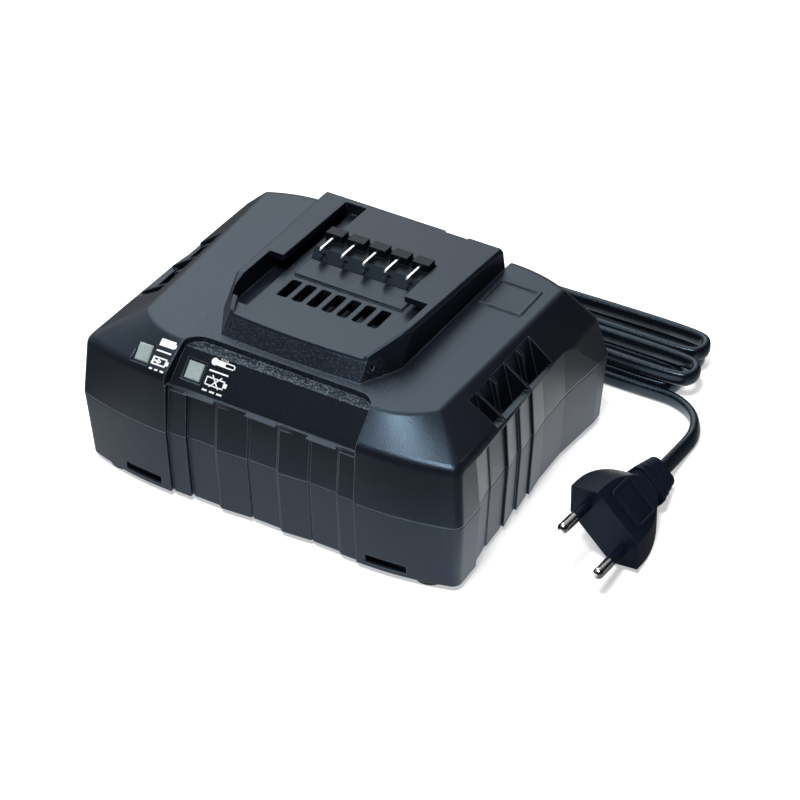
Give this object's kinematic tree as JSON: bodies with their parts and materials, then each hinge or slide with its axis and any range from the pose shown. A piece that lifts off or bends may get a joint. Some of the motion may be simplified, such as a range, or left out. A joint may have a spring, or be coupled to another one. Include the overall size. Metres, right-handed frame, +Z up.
{
  "type": "power tool battery charger",
  "caption": "Air-cooled desktop charger for slide-on power tool batteries, with contact dock, light windows, vents and a mains lead with a flat two-pin plug.",
  "frame": {"origin": "on the surface the charger stands on, under the middle of the housing", "axes": "+X across the charger to its right, +Y from front to back, +Z up"},
  "size_m": [0.1927, 0.1638, 0.0698],
  "materials": {
    "housing_plastic": "fine matte moulded, charcoal",
    "block_plastic": "matte black moulded",
    "window_plastic": "translucent light grey",
    "foot_rubber": "soft matte black",
    "cord_rubber": "smooth black PVC jacket",
    "contact_metal": "bright nickel plate",
    "pin_metal": "bright nickel plate",
    "screw_steel": "zinc plated",
    "sink_aluminium": "plain extruded",
    "board": "green solder mask",
    "ferrite": "dark grey ceramic",
    "copper_winding": "enamelled copper",
    "can_sleeve": "dark sleeve",
    "component_black": "moulded epoxy",
    "led_lens": "clear lens",
    "fan_plastic": "matte black"
  },
  "bodies": {
    "charger": {"upper_housing": "housing_plastic", "lower_housing": "housing_plastic", "rubber_feet": "foot_rubber", "housing_screws": "screw_steel", "fan_screws": "screw_steel", "board_screws": "screw_steel", "indicator_screw": "screw_steel", "circuit_board": "board", "transformer_core": "ferrite", "transformer_winding": "copper_winding", "input_capacitor": "can_sleeve", "output_capacitors": "can_sleeve", "choke_core": "copper_winding", "mains_fuse": "component_black", "heat_sink": "sink_aluminium", "power_transistors": "component_black", "fan_frame": "fan_plastic", "contact_block": "block_plastic", "terminal_board": "board", "fault_light_window": "window_plastic", "charge_light_window": "window_plastic", "indicator_leds": "led_lens", "indicator_board": "board", "strain_relief": "cord_rubber", "mains_lead": "cord_rubber", "plug_lead": "cord_rubber", "cord_hank": "cord_rubber", "plug_body": "cord_rubber", "plug_pins": "pin_metal", "pin_sleeves": "cord_rubber", "contact_blade_1": "contact_metal", "contact_blade_2": "contact_metal", "contact_blade_3": "contact_metal", "contact_blade_4": "contact_metal", "contact_blade_5": "contact_metal"},
    "fan": {"fan_rotor": "fan_plastic"}
  },
  "joints": [
    {"name": "fan_spin", "type": "hinge", "parent": "charger", "child": "fan", "pos_m": [0, -0.01, 0.0525], "axis": [0, 0, 1], "continuous": true}
  ]
}
